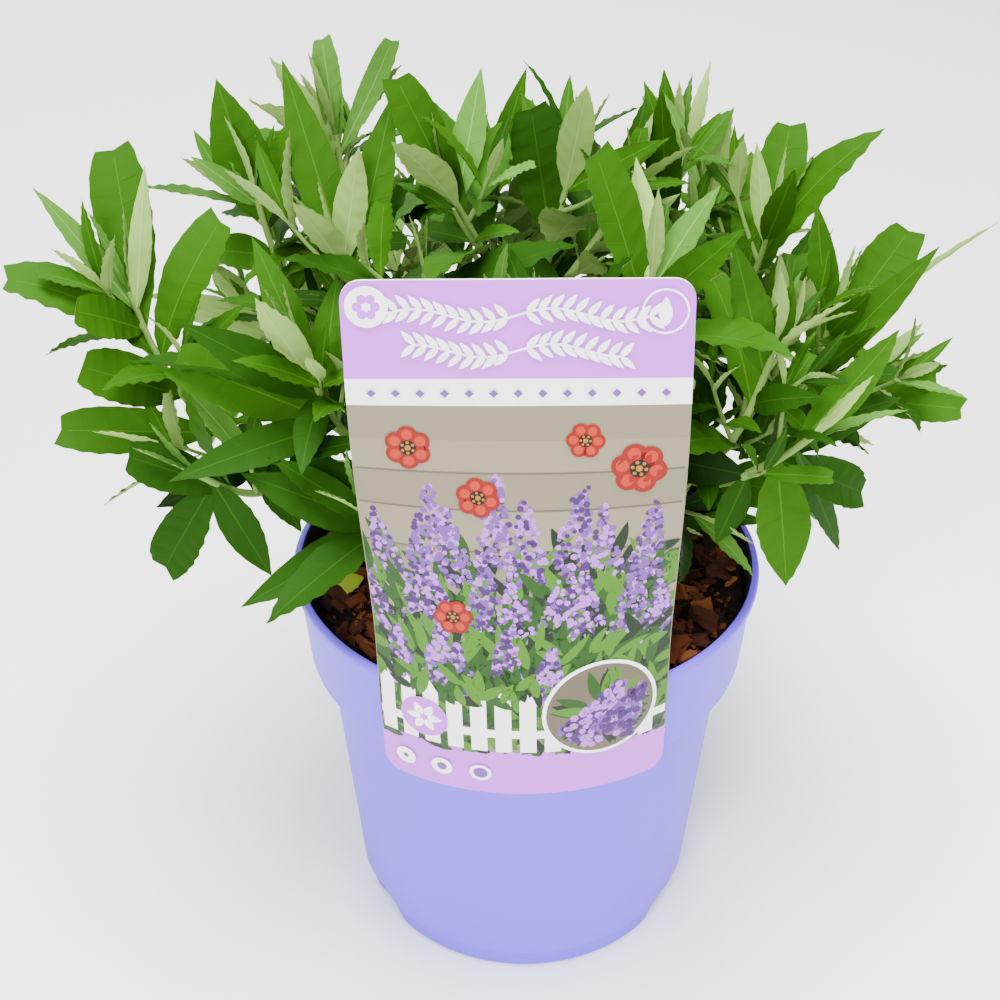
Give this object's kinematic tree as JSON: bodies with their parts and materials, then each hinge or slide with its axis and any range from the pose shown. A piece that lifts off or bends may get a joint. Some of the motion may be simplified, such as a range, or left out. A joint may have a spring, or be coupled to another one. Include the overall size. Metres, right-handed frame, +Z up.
{
  "type": "butterfly bush in a nursery pot",
  "caption": "Young potted butterfly bush: a rounded crown of opposite lance-shaped leaves on ascending shoots, in a tapered plastic pot with a tall card label hooked over the rim.",
  "frame": {"origin": "centre of the pot's flat underside, where it stands", "axes": "+Z up along the pot's axis, -Y towards the label at the front, +X to the right seen from the front"},
  "size_m": [0.3622, 0.269, 0.3751],
  "materials": {
    "pot_plastic": "satin lilac polypropylene",
    "bark_mix": "rough, moist composted bark",
    "label_card": "printed plastic card with a soft sheen",
    "stem_wood": "pale felted young bark",
    "leaves": "satin green upper side, pale felted underside"
  },
  "bodies": {
    "root": {"pot": "pot_plastic", "soil": "bark_mix", "label": "label_card", "main_stem": "stem_wood", "bough_left": "stem_wood", "bough_frontleft": "stem_wood", "bough_upleft": "stem_wood", "bough_topleft": "stem_wood", "bough_front": "stem_wood", "bough_upright": "stem_wood", "bough_right": "stem_wood", "bough_frontright": "stem_wood", "bough_back": "stem_wood", "bough_backleft": "stem_wood", "bough_backright": "stem_wood", "foliage_left": "leaves", "foliage_frontleft": "leaves", "foliage_upleft": "leaves", "foliage_topleft": "leaves", "foliage_top": "leaves", "foliage_front": "leaves", "foliage_upright": "leaves", "foliage_right": "leaves", "foliage_frontright": "leaves", "foliage_back": "leaves", "foliage_backleft": "leaves", "foliage_backright": "leaves"}
  },
  "joints": []
}
